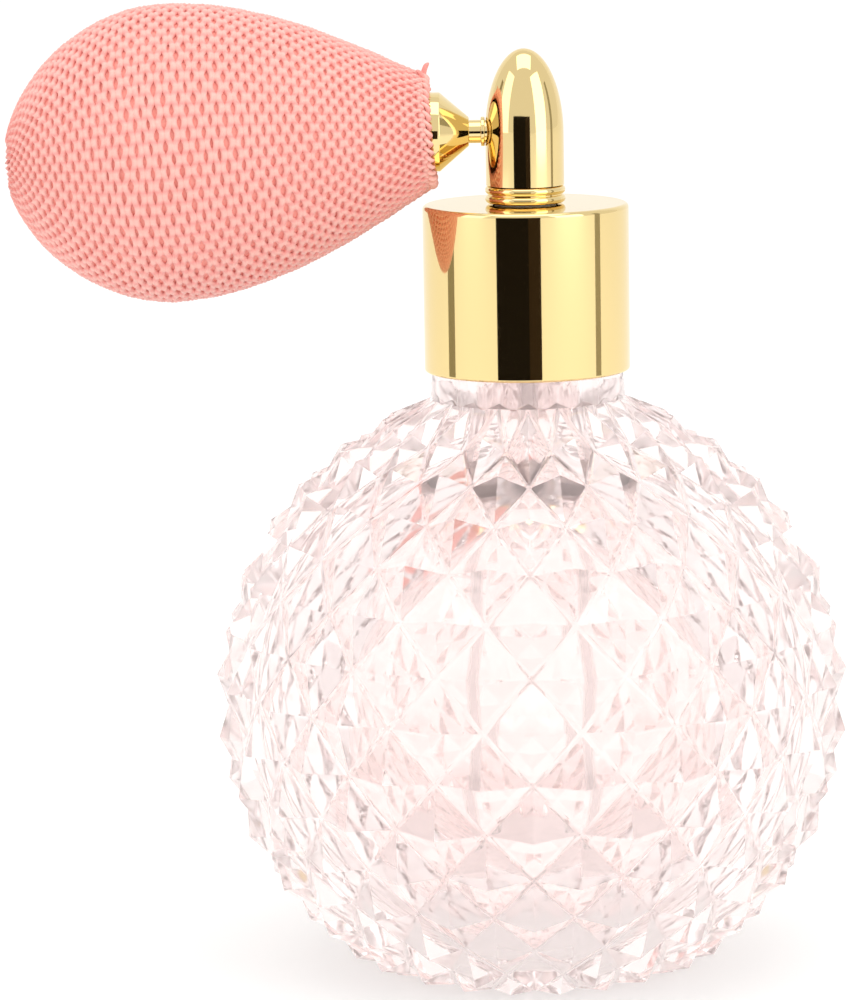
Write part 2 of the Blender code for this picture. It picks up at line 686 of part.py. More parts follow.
def build():
    clear_scene()
    glass = finish("clear_pink_glass", (0.98, 0.9, 0.88), 0.02, 0.0, 1.0)
    gold = finish("polished_gold", (0.95, 0.78, 0.42), 0.08, 1.0)
    brass = finish("turned_brass", (0.78, 0.6, 0.3), 0.25, 1.0)
    steel = finish("steel_ball", (0.7, 0.7, 0.72), 0.12, 1.0)
    white = finish("white_plastic", (0.9, 0.9, 0.88), 0.4)
    clear = finish("clear_plastic", (0.92, 0.93, 0.93), 0.15, 0.0, 0.9)
    seal = finish("seal_rubber", (0.12, 0.12, 0.12), 0.7)
    latex = finish("bulb_rubber", (0.55, 0.3, 0.2), 0.55)
    yarn = finish("pink_yarn", (0.93, 0.5, 0.42), 0.9)

    head = axis_frame("head_lift_axis", None, 0, 0)
    collar = axis_frame("collar_turn_axis", head, 0, 0)
    fitting = axis_frame("fitting_axis", head, SPRAY_AXIS, -90)
    turning = axis_frame("funnel_turn_axis", fitting, 0, 0)
    bulb = axis_frame("bulb_flex_axis", turning, PIVOT_AT, -DROOP)
    tail = axis_frame("bulb_squeeze_axis", bulb, 0, 0)

    glass_bottle(glass)
    collar_shell(gold, collar)
    collar_liner(white, collar)
    head_core(white, head, fitting)
    dome_shell(gold, head, fitting)
    head_trim(gold, seal, head)
    liquid_path(clear, brass, head)
    nozzle_insert(brass, fitting)
    stem_and_washer(gold, fitting)
    funnel(gold, turning)
    outlet_valve(brass, steel, turning)
    neck_clamp(brass, turning)
    rubber_bulb(latex, bulb)
    knit_cover(yarn, bulb)
    cover_cord(yarn, bulb)
    intake_valve(brass, steel, tail)


build()
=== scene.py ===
"""Perfume atomiser: the finished look of its cut-glass bottle, gilt head and knit-covered bulb."""

import json
import math

import bpy
from mathutils import Euler, Matrix, Vector, noise


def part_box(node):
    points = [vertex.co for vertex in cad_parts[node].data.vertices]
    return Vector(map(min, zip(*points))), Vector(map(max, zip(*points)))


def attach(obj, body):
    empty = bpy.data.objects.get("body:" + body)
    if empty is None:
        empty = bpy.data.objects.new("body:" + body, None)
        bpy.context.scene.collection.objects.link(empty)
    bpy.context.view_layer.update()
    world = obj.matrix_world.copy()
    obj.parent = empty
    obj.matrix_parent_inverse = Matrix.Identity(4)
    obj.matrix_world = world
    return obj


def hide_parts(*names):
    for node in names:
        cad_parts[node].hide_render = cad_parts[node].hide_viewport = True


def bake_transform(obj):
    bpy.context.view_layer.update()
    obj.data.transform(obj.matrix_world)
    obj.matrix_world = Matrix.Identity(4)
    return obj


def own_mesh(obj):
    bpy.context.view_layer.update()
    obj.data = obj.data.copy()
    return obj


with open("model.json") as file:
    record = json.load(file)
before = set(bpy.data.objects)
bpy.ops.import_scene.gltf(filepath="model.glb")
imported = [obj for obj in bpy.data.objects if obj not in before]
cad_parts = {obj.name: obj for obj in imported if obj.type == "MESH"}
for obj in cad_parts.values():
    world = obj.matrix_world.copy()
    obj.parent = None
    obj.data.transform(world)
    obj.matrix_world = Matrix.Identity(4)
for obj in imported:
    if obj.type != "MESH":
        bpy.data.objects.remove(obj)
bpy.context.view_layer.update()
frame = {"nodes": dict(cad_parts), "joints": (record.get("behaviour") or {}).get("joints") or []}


# ---- Camera ----
# A long lens a little over half a metre away, looking slightly down, with the bottle right of
# the middle so that the bulb has room on the left.

camera_data = bpy.data.cameras.new("camera")
camera_data.lens = 177
camera_data.sensor_width = 36
camera_data.clip_start = 0.01
camera = bpy.data.objects.new("camera", camera_data)
bpy.context.scene.collection.objects.link(camera)
camera.location = (0, -0.6114, 0.1603)
look = Euler((math.radians(90 - 9.38), 0, math.radians(1.23))).to_matrix()
roll = Matrix.Rotation(math.radians(-0.93), 3, "Z")
camera.rotation_euler = (look @ roll).to_euler()
bpy.context.scene.camera = camera


# ---- Studio ----
# A white table that sweeps up behind, soft boxes to the left, right and above, and a dark
# flag beside the camera, which polished metal shows as one dark upright stripe.


def studio_surface(name, colour, strength=0.0):
    made = bpy.data.materials.new(name)
    made.use_nodes = True
    shader = made.node_tree.nodes["Principled BSDF"]
    shader.inputs["Base Color"].default_value = (*colour, 1)
    shader.inputs["Roughness"].default_value = 0.9
    shader.inputs["Specular IOR Level"].default_value = 0.0
    shader.inputs["Emission Color"].default_value = (*colour, 1)
    shader.inputs["Emission Strength"].default_value = strength
    return made


def studio_sweep():
    bpy.ops.object.select_all(action="DESELECT")
    bpy.ops.mesh.primitive_plane_add(size=1, location=(0, 0, 0))
    sweep = bpy.context.object
    sweep.name = "table_sweep"
    sweep.data.vertices[0].co = (-2.5, -1.6, 0)
    sweep.data.vertices[1].co = (2.5, -1.6, 0)
    sweep.data.vertices[2].co = (-2.5, 0.9, 0)
    sweep.data.vertices[3].co = (2.5, 0.9, 0)
    bpy.ops.object.mode_set(mode="EDIT")
    bpy.ops.mesh.select_mode(type="EDGE")
    bpy.ops.mesh.select_all(action="DESELECT")
    bpy.ops.object.mode_set(mode="OBJECT")
    for edge in sweep.data.edges:
        edge.select = all(sweep.data.vertices[v].co.y > 0.8 for v in edge.vertices)
    bpy.ops.object.mode_set(mode="EDIT")
    for step in range(12):
        angle = math.radians(7.5 * (step + 0.5))
        move = (0, 0.12 * math.cos(angle), 0.12 * math.sin(angle))
        bpy.ops.mesh.extrude_region_move(TRANSFORM_OT_translate={"value": move})
    bpy.ops.mesh.extrude_region_move(TRANSFORM_OT_translate={"value": (0, 0, 1.6)})
    bpy.ops.object.mode_set(mode="OBJECT")
    bpy.ops.object.shade_smooth()
    sweep.data.materials.append(studio_surface("white_paper", (0.66, 0.66, 0.655), 0.6))


def soft_box(name, place, aim, size, power):
    data = bpy.data.lights.new(name, "AREA")
    data.shape = "RECTANGLE"
    data.size, data.size_y = size
    data.energy = power
    light = bpy.data.objects.new(name, data)
    bpy.context.scene.collection.objects.link(light)
    light.location = place
    direction = Vector(aim) - Vector(place)
    light.rotation_euler = direction.to_track_quat("-Z", "Y").to_euler()


def card(name, turn, away, height, size, colour):
    """An upright card facing the bottle, turned that many degrees from the camera's side."""
    angle = math.radians(turn)
    place = (away * math.sin(angle), -away * math.cos(angle), height)
    bpy.ops.object.select_all(action="DESELECT")
    bpy.ops.mesh.primitive_plane_add(size=1, location=place)
    flag = bpy.context.object
    flag.name = name
    flag.rotation_euler = (math.radians(90), 0, angle)
    flag.scale = (*size, 1)
    bpy.ops.object.transform_apply(location=True, rotation=True, scale=True)
    flag.data.materials.append(studio_surface(name, colour))
    flag.visible_camera = False
    flag.visible_diffuse = False
    flag.visible_transmission = False
    flag.visible_shadow = False


bpy.context.scene.view_settings.view_transform = "Standard"
world = bpy.data.worlds.new("white_room")
world.use_nodes = True
world.node_tree.nodes["Background"].inputs["Color"].default_value = (1.0, 0.99, 0.98, 1)
world.node_tree.nodes["Background"].inputs["Strength"].default_value = 0.9
bpy.context.scene.world = world
studio_sweep()
soft_box("key_box", (0.72, -0.6, 0.42), (0, 0, 0.08), (0.62, 0.9), 2.6)
soft_box("fill_box", (-0.8, -0.42, 0.42), (0, 0, 0.08), (0.5, 0.8), 1.3)
soft_box("top_box", (0, -0.15, 0.95), (0, 0, 0.06), (0.8, 0.7), 2.4)
card("black_card", -11, 0.34, 0.082, (0.27, 0.145), (0.011, 0.009, 0.008))
card("brown_card", 4, 0.35, 0.082, (0.15, 0.145), (0.030, 0.020, 0.013))
card("left_grey_card", -92, 0.5, 0.1, (0.09, 0.5), (0.28, 0.26, 0.2))
card("right_grey_card", 86, 0.5, 0.1, (0.07, 0.5), (0.34, 0.32, 0.26))


# ---- Bottle ----
# Pressed crystal, cut and fire-polished: a ball covered with four-sided points in staggered
# rows, a plain neck, a screw finish and a smooth blown inside. Very faintly pink, with a slight
# painted glow: a faint pink emission that stands in for light the cuts gather and scatter.


class Value:
    """A shader socket that adds its own Math nodes when it is used in a formula."""

    def __init__(self, finish, socket):
        self.finish = finish
        self.socket = socket

    def math(self, operation, *values):
        return self.finish.add("ShaderNodeMath", {"operation": operation}, dict(enumerate(values)))

    def __add__(self, other):
        return self.math("ADD", self, other)

    def __sub__(self, other):
        return self.math("SUBTRACT", self, other)

    def __mul__(self, other):
        return self.math("MULTIPLY", self, other)

    def __rsub__(self, other):
        return self.math("SUBTRACT", other, self)

    __radd__ = __add__
    __rmul__ = __mul__


class Finish:
    """One material: a Principled shader with its plain settings, and the nodes that feed it."""

    def __init__(self, name, **plain):
        self.material = bpy.data.materials.new(name)
        self.material.use_nodes = True
        self.tree = self.material.node_tree
        self.shader = self.tree.nodes["Principled BSDF"]
        for socket, value in plain.items():
            self.shader.inputs[socket.replace("_", " ")].default_value = value

    def add(self, kind, settings=None, inputs=None, output=0):
        """A node of that kind, with its settings made first and then its inputs set or linked."""
        node = self.tree.nodes.new(kind)
        for key, value in (settings or {}).items():
            setattr(node, key, value)
        for key, value in (inputs or {}).items():
            if isinstance(value, Value):
                self.tree.links.new(value.socket, node.inputs[key])
            else:
                node.inputs[key].default_value = value
        return Value(self, node.outputs[output])

    def place(self, scale=(1, 1, 1)):
        """Object coordinates, stretched by a Mapping node."""
        read = self.add("ShaderNodeTexCoord", output="Object")
        return self.add("ShaderNodeMapping", None, {"Vector": read, "Scale": scale})

    def cloud(self, size, detail=3.0, roughness=0.5, place=None):
        """Soft noise from 0 to 1 whose blotches are about that many metres across."""
        inputs = {"Scale": 1 / size, "Detail": detail, "Roughness": roughness}
        inputs["Vector"] = place or self.place()
        return self.add("ShaderNodeTexNoise", None, inputs)

    def blend(self, share, first, second):
        """A colour that runs from the first to the second as share goes from 0 to 1."""
        settings = {"data_type": "RGBA"}
        inputs = {0: share}
        for key, value in ((6, first), (7, second)):
            inputs[key] = value if isinstance(value, Value) else (*value, 1)
        return self.add("ShaderNodeMix", settings, inputs, output=2)

    def bump(self, height, depth, strength=1.0, under=None):
        """Raises the surface by that depth in metres where height is 1."""
        inputs = {"Height": height, "Distance": depth, "Strength": strength}
        if under:
            inputs["Normal"] = under
        return self.add("ShaderNodeBump", None, inputs)

    def feed(self, **sockets):
        for socket, value in sockets.items():
            self.tree.links.new(value.socket, self.shader.inputs[socket.replace("_", " ")])
        return self.material


def arc(radius, height, size, start, end, steps=8):
    """Points of a round stretch about (radius, height), from one angle in degrees to another."""
    turns = [math.radians(start + (end - start) * i / steps) for i in range(steps + 1)]
    return [(radius + size * math.cos(t), height + size * math.sin(t)) for t in turns]


def lathe(name, outline, facets=96, closed=True):
    """Spins an outline of (radius, height) points about the Z axis, as turned or moulded."""
    bpy.ops.object.select_all(action="DESELECT")
    mesh = bpy.data.meshes.new(name)
    last = len(outline) - 1
    edges = [(i, i + 1) for i in range(last)]
    if closed and (outline[0][0] > 0 or outline[last][0] > 0):
        edges.append((last, 0))
    mesh.from_pydata([(r, 0, h) for r, h in outline], edges, [])
    made = bpy.data.objects.new(name, mesh)
    bpy.context.scene.collection.objects.link(made)
    bpy.context.view_layer.objects.active = made
    made.select_set(True)
    bpy.ops.object.mode_set(mode="EDIT")
    bpy.ops.mesh.select_all(action="SELECT")
    bpy.ops.mesh.spin(steps=facets, angle=2 * math.pi, center=(0, 0, 0), axis=(0, 0, 1))
    bpy.ops.mesh.select_all(action="SELECT")
    bpy.ops.mesh.remove_doubles(threshold=1e-7)
    bpy.ops.mesh.delete_loose(use_verts=True, use_edges=True, use_faces=False)
    bpy.ops.mesh.select_all(action="SELECT")
    bpy.ops.mesh.normals_make_consistent(inside=False)
    bpy.ops.mesh.select_all(action="DESELECT")
    bpy.ops.object.mode_set(mode="OBJECT")
    return made


def apply_modifier(piece, kind, **settings):
    """Adds a modifier, sets it and applies it."""
    bpy.context.view_layer.objects.active = piece
    step = piece.modifiers.new(kind.lower(), kind)
    for key, value in settings.items():
        setattr(step, key, value)
    bpy.ops.object.modifier_apply(modifier=step.name)


def dress(piece, material, body, slot, *nodes, smooth=30):
    """Gives a piece its material, its smooth rounds and its body, and hides the CAD nodes it stands
    for; slot is not used.
    """
    bpy.ops.object.select_all(action="DESELECT")
    bpy.context.view_layer.objects.active = piece
    piece.select_set(True)
    bpy.ops.object.transform_apply(location=True, rotation=True, scale=True)
    bpy.ops.object.shade_smooth_by_angle(angle=math.radians(smooth))
    apply_modifier(piece, "WEIGHTED_NORMAL", keep_sharp=True)
    piece.data.materials.clear()
    piece.data.materials.append(material)
    if body:
        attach(piece, body)
    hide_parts(*nodes)
    return piece


mm = 0.001
tip_radius = 40.0 * mm
valley_radius = 37.8 * mm
ball_centre = 34.009 * mm
columns = 20
grid_rows = 16  # the lowest of them are cut away with the foot
top_row = 72.5
row_step = 9.7
valley_round = 0.45 * mm
neck_radius = 12.0 * mm
neck_start = 72.166 * mm
shoulder = 76.566 * mm
finish_radius = 8.8 * mm
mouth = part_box("glass_bottle")[1][2]
bore_radius = 6.5 * mm
inside_radius = 29.8 * mm


def is_crossing(point):
    """True where two valleys cross: every other point of the grid, row by row."""
    latitude = math.degrees(math.atan2(point.z - ball_centre, math.hypot(point.x, point.y)))
    row = round((top_row - latitude) / row_step)
    half = round(math.degrees(math.atan2(point.y, point.x)) * columns / 180)
    return (row + half) % 2 == 0


def cut_ball():
    """The ball of a grid of points, every other one pulled out to the tip of a pyramid."""
    latitudes = [math.radians(top_row - row_step * row) for row in range(1, grid_rows)]
    outline = [(neck_radius, neck_start)]
    for angle in latitudes:
        outline.append(
            (valley_radius * math.cos(angle), ball_centre + valley_radius * math.sin(angle))
        )
    ball = lathe("cut_ball", outline, 2 * columns, closed=False)
    for vertex in ball.data.vertices:
        vertex.select = is_crossing(vertex.co)
    bpy.ops.object.mode_set(mode="EDIT")
    bpy.ops.mesh.select_mode(type="VERT")
    bpy.ops.mesh.vert_connect()
    bpy.ops.mesh.select_all(action="DESELECT")
    bpy.ops.object.mode_set(mode="OBJECT")
    for vertex in ball.data.vertices:
        low_enough = vertex.co.z < neck_start - 1 * mm
        vertex.select = low_enough and not is_crossing(vertex.co)
    bpy.ops.object.mode_set(mode="EDIT")
    grow = tip_radius / valley_radius
    bpy.ops.transform.resize(value=(grow, grow, grow), center_override=(0, 0, ball_centre))
    bpy.ops.mesh.select_all(action="DESELECT")
    bpy.ops.object.mode_set(mode="OBJECT")
    weights = ball.data.attributes.new("bevel_weight_edge", "FLOAT", "EDGE")
    for edge in ball.data.edges:
        ends = [ball.data.vertices[v].co for v in edge.vertices]
        valley = all(is_crossing(end) for end in ends)
        weights.data[edge.index].value = float(valley)
    apply_modifier(ball, "BEVEL", limit_method="WEIGHT", width=valley_round, segments=3)
    bpy.ops.object.mode_set(mode="EDIT")
    bpy.ops.mesh.select_all(action="SELECT")
    bpy.ops.mesh.bisect(plane_co=(0, 0, 0), plane_no=(0, 0, 1), use_fill=True, clear_inner=True)
    bpy.ops.object.mode_set(mode="OBJECT")
    return ball


def neck_and_inside():
    """The plain neck, the mouth, the bore and the inside as one open skin."""
    foot = 0.25 * mm
    shoulder_round = 0.8 * mm
    corner = 0.4 * mm
    lip = 0.5 * mm
    outline = [(neck_radius + foot, neck_start + foot)]
    outline += arc(neck_radius - shoulder_round, shoulder - shoulder_round, shoulder_round, 0, 80)
    outline += arc(finish_radius + corner, shoulder + corner, corner, 270, 180, 4)
    outline += arc(finish_radius - lip, mouth - lip, lip, 0, 90)
    outline += arc(bore_radius + lip, mouth - lip, lip, 90, 180)
    fillet = 3.0 * mm
    swing = math.acos((bore_radius + fillet) / (inside_radius + fillet))
    turn_height = ball_centre + (inside_radius + fillet) * math.sin(swing)
    outline += arc(bore_radius + fillet, turn_height, fillet, 180, 180 + math.degrees(swing), 8)
    outline += arc(0, ball_centre, inside_radius, math.degrees(swing), -89.9, 48)[1:-1]
    outline.append((0, ball_centre - inside_radius))
    return lathe("neck_and_inside", outline, 3 * 2 * columns, closed=False)


def glass_thread():
    """The moulded thread: a three-sided bar on the finish that fades out at both ends."""
    turns, pitch, depth, root = 1.6, 3.0 * mm, 1.0 * mm, 0.4 * mm
    steps = 96
    low = shoulder + (mouth - shoulder - turns * pitch) / 2
    points, faces = [], []
    for i in range(steps + 1):
        share = i / steps
        angle = 2 * math.pi * turns * share
        fade = min(1, share * 8, (1 - share) * 8)
        crest = finish_radius + 0.05 * mm + (depth - 0.05 * mm) * fade
        height = low + turns * pitch * share
        inner = finish_radius - root
        for r, h in ((inner, -0.3), (crest, -0.12), (crest, 0.12), (inner, 0.3)):
            points.append((r * math.cos(angle), r * math.sin(angle), height + h * pitch))
    for i in range(steps):
        for j in range(4):
            a, b = 4 * i + j, 4 * i + (j + 1) % 4
            faces.append((a, b, b + 4, a + 4))
    faces += [(3, 2, 1, 0), tuple(4 * steps + j for j in range(4))]
    mesh = bpy.data.meshes.new("glass_thread")
    mesh.from_pydata(points, [], faces)
    made = bpy.data.objects.new("glass_thread", mesh)
    bpy.context.scene.collection.objects.link(made)
    return made


def join_bottle():
    ball, inside, thread = cut_ball(), neck_and_inside(), glass_thread()
    bpy.ops.object.select_all(action="DESELECT")
    ball.select_set(True)
    inside.select_set(True)
    bpy.context.view_layer.objects.active = ball
    bpy.ops.object.join()
    bpy.ops.object.mode_set(mode="EDIT")
    bpy.ops.mesh.select_mode(type="EDGE")
    bpy.ops.mesh.select_all(action="DESELECT")
    bpy.ops.mesh.select_non_manifold(use_wire=False, use_multi_face=False, use_verts=False)
    bpy.ops.mesh.bridge_edge_loops()
    bpy.ops.mesh.select_all(action="SELECT")
    bpy.ops.mesh.normals_make_consistent(inside=False)
    bpy.ops.object.mode_set(mode="OBJECT")
    apply_modifier(ball, "BOOLEAN", object=thread, operation="UNION", solver="EXACT")
    bpy.data.objects.remove(thread)
    ball.name = "crystal_bottle"
    return ball


crystal = Finish(
    "pink_crystal",
    IOR=1.45,
    Transmission_Weight=0.93,
    # Painted glow: the glass emits a faint pink light of its own, which brightens its dark places.
    Emission_Color=(1.0, 0.80, 0.77, 1),
    Emission_Strength=0.035,
)
ripple = crystal.cloud(9 * mm, 2.0)
melt = crystal.cloud(25 * mm, 1.0)
crystal_material = crystal.feed(
    Base_Color=crystal.blend(melt, (0.995, 0.88, 0.868), (1.0, 0.925, 0.917)),
    Roughness=ripple * 0.06 + 0.03,
    Normal=crystal.bump(ripple, 0.05 * mm, 0.5),
)
bottle = join_bottle()
dress(bottle, crystal_material, "bottle", "bottle_glass", "glass_bottle", smooth=14)


# ---- Gilt collar, ring and dome ----
# Drawn brass shells, polished to a mirror and plated pale gold. The collar drops over the
# liner, the ring sits under the dome, and the dome is pressed on the core.

gilt = Finish("polished_gold", Metallic=1.0)
haze = gilt.cloud(4 * mm, 4.0)
swirl = gilt.cloud(30 * mm, 2.0)
gold_material = gilt.feed(
    Base_Color=gilt.blend(swirl, (0.84, 0.645, 0.30), (0.87, 0.69, 0.34)),
    Roughness=haze * 0.03 + 0.03,
    Normal=gilt.bump(gilt.cloud(2.5 * mm, 2.0), 0.002 * mm, 0.6),
)

collar_low, collar_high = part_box("collar_shell")
collar_radius = collar_high[0]
wall = 0.7 * mm
lid = 1.2 * mm
roll_radius = 0.35 * mm
edge = 0.55 * mm
hole = 4.15 * mm
collar_outline = arc(collar_radius - roll_radius, collar_low[2] + roll_radius, roll_radius, 180, 360)
collar_outline += arc(collar_radius - edge, collar_high[2] - edge, edge, 0, 90)
collar_outline += [
    (hole, collar_high[2]),
    (hole, collar_high[2] - lid),
    (collar_radius - wall, collar_high[2] - lid),
]
collar = lathe("gilt_collar", collar_outline, 144)
dress(collar, gold_material, "collar", "polished_gold", "collar_shell")

ring_low, ring_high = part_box("dome_base_ring")
ring_radius = ring_high[0]
bead = (ring_high[2] - ring_low[2]) / 4
ring_bore = 4.0 * mm
ring_outline = [(ring_bore, ring_low[2])]
ring_outline += arc(ring_radius - bead, ring_low[2] + bead, bead, -90, 65, 12)
ring_outline += arc(ring_radius - bead, ring_high[2] - bead, bead, -65, 90, 12)
ring_outline.append((ring_bore, ring_high[2]))
ring = lathe("gilt_ring", ring_outline, 96)
dress(ring, gold_material, "head", "polished_gold", "dome_base_ring")

dome_low, dome_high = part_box("dome_shell")
dome_radius = dome_high[0]
dome_wall = 0.65 * mm
crown = 10.5 * mm
stem_hole = 1.55 * mm
spray_hole = 0.45 * mm
spray_height = (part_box("air_stem")[0][2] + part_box("air_stem")[1][2]) / 2


def crown_curve(radius, tip, height, steps=28):
    """The bullet-shaped crown: half an oval from the straight wall up to the axis."""
    points = []
    for i in range(steps + 1):
        angle = math.pi / 2 * i / steps
        across = radius * math.cos(angle) if i < steps else 0.0
        points.append((across, tip - height + height * math.sin(angle)))
    return points


def cross_hole(piece, radius, start, end):
    """Drills a round hole along X at the height of the spray axis."""
    bpy.ops.object.select_all(action="DESELECT")
    middle = (start + end) / 2
    bpy.ops.mesh.primitive_cylinder_add(
        vertices=48,
        radius=radius,
        depth=end - start,
        location=(middle, 0, spray_height),
        rotation=(0, math.radians(90), 0),
    )
    drill = bpy.context.object
    apply_modifier(piece, "BOOLEAN", object=drill, operation="DIFFERENCE", solver="EXACT")
    bpy.data.objects.remove(drill)


inner_crown = crown_curve(dome_radius - dome_wall, dome_high[2] - dome_wall, crown - dome_wall)
dome_outline = inner_crown[::-1]
dome_outline += [(dome_radius - dome_wall, dome_low[2]), (dome_radius, dome_low[2])]
dome_outline += crown_curve(dome_radius, dome_high[2], crown)
dome = lathe("gilt_dome", dome_outline, 96)
cross_hole(dome, stem_hole, -8 * mm, 0)
cross_hole(dome, spray_hole, 0, 8 * mm)
dress(dome, gold_material, "head", "polished_gold", "dome_shell")


# ---- Stem, washer and funnel ----
# Turned brass, gilt to match: the stem screws into the dome's side, a washer trims the joint,
# and the funnel screws on the stem and cups the bulb's neck.


def lay_along_fitting(piece):
    """Turns a piece made along Z so that it lies on the fitting's axis, pointing to the bulb."""
    piece.matrix_world = Matrix.Translation((0, 0, spray_height)) @ Matrix.Rotation(
        math.radians(-90), 4, "Y"
    )
    return piece


def along(node):
    """Where a node starts and ends along the fitting, counted from the dome's axis."""
    low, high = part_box(node)
    return -high[0], -low[0]


def soften(piece, width, segments=3):
    """Rounds the sharp edges a little, as tumbling or polishing does."""
    apply_modifier(
        piece,
        "BEVEL",
        limit_method="ANGLE",
        angle_limit=math.radians(40),
        width=width,
        segments=segments,
    )


stem_start, stem_end = along("air_stem")
air_bore = 0.6 * mm
stem_radius = 1.45 * mm
stem_outline = [
    (air_bore, stem_start),
    (stem_radius, stem_start),
    (stem_radius, stem_end),
    (air_bore, stem_end),
]
stem = lathe("gilt_stem", stem_outline, 64)
soften(stem, 0.08 * mm, 2)
lay_along_fitting(stem)
dress(stem, gold_material, "head", "polished_gold", "air_stem")

washer_start, washer_end = along("stem_washer")
washer_bore = 1.55 * mm
washer_radius = 1.85 * mm
washer_outline = [
    (washer_bore, washer_start),
    (washer_radius, washer_start),
    (washer_radius, washer_end),
    (washer_bore, washer_end),
]
washer = lathe("gilt_washer", washer_outline, 64)
soften(washer, 0.12 * mm, 3)
lay_along_fitting(washer)
dress(washer, gold_material, "head", "polished_gold", "stem_washer")

funnel_start, funnel_end = along("funnel")
rim_radius = 4.95 * mm
rim_bore = rim_radius - 0.6 * mm
cone_end = funnel_start + 3.7 * mm
socket_radius = 1.575 * mm
socket_end = funnel_start + 1.85 * mm
cone_nose = 1.8 * mm
cone_floor = 2.7 * mm
funnel_outline = [
    (socket_radius, funnel_start),
    (cone_nose, funnel_start),
    (rim_radius - 0.05 * mm, cone_end - 0.12 * mm),
    (rim_radius, cone_end),
    (rim_radius, funnel_end),
    (rim_bore, funnel_end),
    (rim_bore, cone_end),
    (cone_floor, socket_end),
    (socket_radius, socket_end),
]
cone = lathe("gilt_funnel", funnel_outline, 96)
soften(cone, 0.1 * mm, 3)
lay_along_fitting(cone)
dress(cone, gold_material, "funnel", "polished_gold", "funnel")


# ---- Head core, liner and tubes ----
# Moulded white plastic: the core that carries the dome and plugs the neck, and the liner that
# grips the glass thread. The dip tube is clear drawn plastic, pushed into the core.


def colour_cad(material, *nodes):
    """Gives CAD nodes that keep their own shape their finished material."""
    for node in nodes:
        mesh = frame["nodes"][node].data
        mesh.materials.clear()
        mesh.materials.append(material)


moulded = Finish("white_plastic", Subsurface_Weight=0.08, IOR=1.5)
moulded_flow = moulded.cloud(3 * mm, 3.0)
moulded_material = moulded.feed(
    Base_Color=moulded.blend(moulded_flow, (0.86, 0.86, 0.83), (0.91, 0.91, 0.89)),
    Roughness=moulded_flow * 0.1 + 0.32,
    Normal=moulded.bump(moulded.cloud(0.4 * mm, 2.0), 0.01 * mm, 0.5),
)
colour_cad(moulded_material, "collar_liner", "head_core")

drawn = Finish("clear_plastic", Transmission_Weight=0.9, IOR=1.49)
drawn_lines = drawn.cloud(0.6 * mm, 2.0, place=drawn.place(scale=(1, 1, 0.05)))
drawn_material = drawn.feed(
    Base_Color=drawn.blend(drawn_lines, (0.95, 0.96, 0.96), (0.99, 0.99, 0.99)),
    Roughness=drawn_lines * 0.08 + 0.08,
    Normal=drawn.bump(drawn_lines, 0.01 * mm, 0.4),
)
tube_low, tube_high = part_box("dip_tube")
tube_radius = tube_high[0]
tube_bore = 0.7 * mm
slant = 0.9 * mm
tube_outline = [
    (tube_bore, tube_low[2]),
    (tube_radius, tube_low[2]),
    (tube_radius, tube_high[2]),
    (tube_bore, tube_high[2]),
]
dip_tube = lathe("clear_dip_tube", tube_outline, 48)
for point in dip_tube.data.vertices:
    if point.co.z < tube_low[2] + 1 * mm:
        point.co.z += slant * (1 + point.co.x / tube_radius) / 2
dress(dip_tube, drawn_material, "head", "clear_plastic", "dip_tube")


# ---- Seals, valves and small metal ----
# Black rubber seals, brass turnings with the lathe's fine rings still on them, and two polished
# steel balls that open and shut the air's way in and out of the bulb.

seal = Finish("seal_rubber", Specular_IOR_Level=0.4)
seal_bloom = seal.cloud(0.8 * mm, 4.0)
seal_material = seal.feed(
    Base_Color=seal.blend(seal_bloom, (0.018, 0.018, 0.018), (0.045, 0.044, 0.042)),
    Roughness=seal_bloom * 0.2 + 0.55,
    Normal=seal.bump(seal.cloud(0.2 * mm, 3.0), 0.01 * mm),
)
colour_cad(seal_material, "neck_gasket", "dome_seal_ring")

brass = Finish("turned_brass", Metallic=1.0)
tool_rings = brass.cloud(0.12 * mm, 2.0, place=brass.place(scale=(1, 0.08, 0.08)))
tarnish = brass.cloud(2 * mm, 4.0)
brass_material = brass.feed(
    Base_Color=brass.blend(tarnish, (0.66, 0.45, 0.20), (0.82, 0.62, 0.31)),
    Roughness=tarnish * 0.12 + 0.2,
    Normal=brass.bump(tool_rings, 0.006 * mm, 0.6),
)
colour_cad(
    brass_material,
    "liquid_tip",
    "nozzle_insert",
    "bulb_barb",
    "outlet_valve_seat",
    "outlet_valve_stop",
    "neck_clamp",
    "intake_valve_body",
    "intake_valve_stop",
)

steel = Finish("steel_ball", Metallic=1.0)
steel_wear = steel.cloud(0.5 * mm, 4.0)
steel_material = steel.feed(
    Base_Color=steel.blend(steel_wear, (0.58, 0.58, 0.60), (0.70, 0.70, 0.71)),
    Roughness=steel_wear * 0.08 + 0.08,
    Normal=steel.bump(steel_wear, 0.002 * mm, 0.5),
)
colour_cad(steel_material, "outlet_valve_ball", "intake_valve_ball")


# ---- Rubber bulb ----
# A dip-moulded latex bulb with a straight neck pushed over the barb. The neck bends between
# the funnel and the bulb, and the belly is what the hand squeezes.

flex = next(j for j in frame["joints"] if j["name"] == "bulb_flex")
squeeze = next(j for j in frame["joints"] if j["name"] == "bulb_squeeze")
pivot = Vector(flex["pos_m"])
outward = -Vector(squeeze["axis"]).normalized()
droop = math.atan2(-outward.z, -outward.x)
bulb_place = Matrix.Translation(pivot) @ Matrix.Rotation(-math.pi / 2 - droop, 4, "Y")

cover_start = -1.3 * mm
cover_length = 52.6 * mm
cover_neck = 7.2 * mm
cover_belly = 18.6 * mm
belly_at = cover_length * 0.618
squash_keep = 1 - squeeze["range_m"][1] / (cover_length + cover_start)


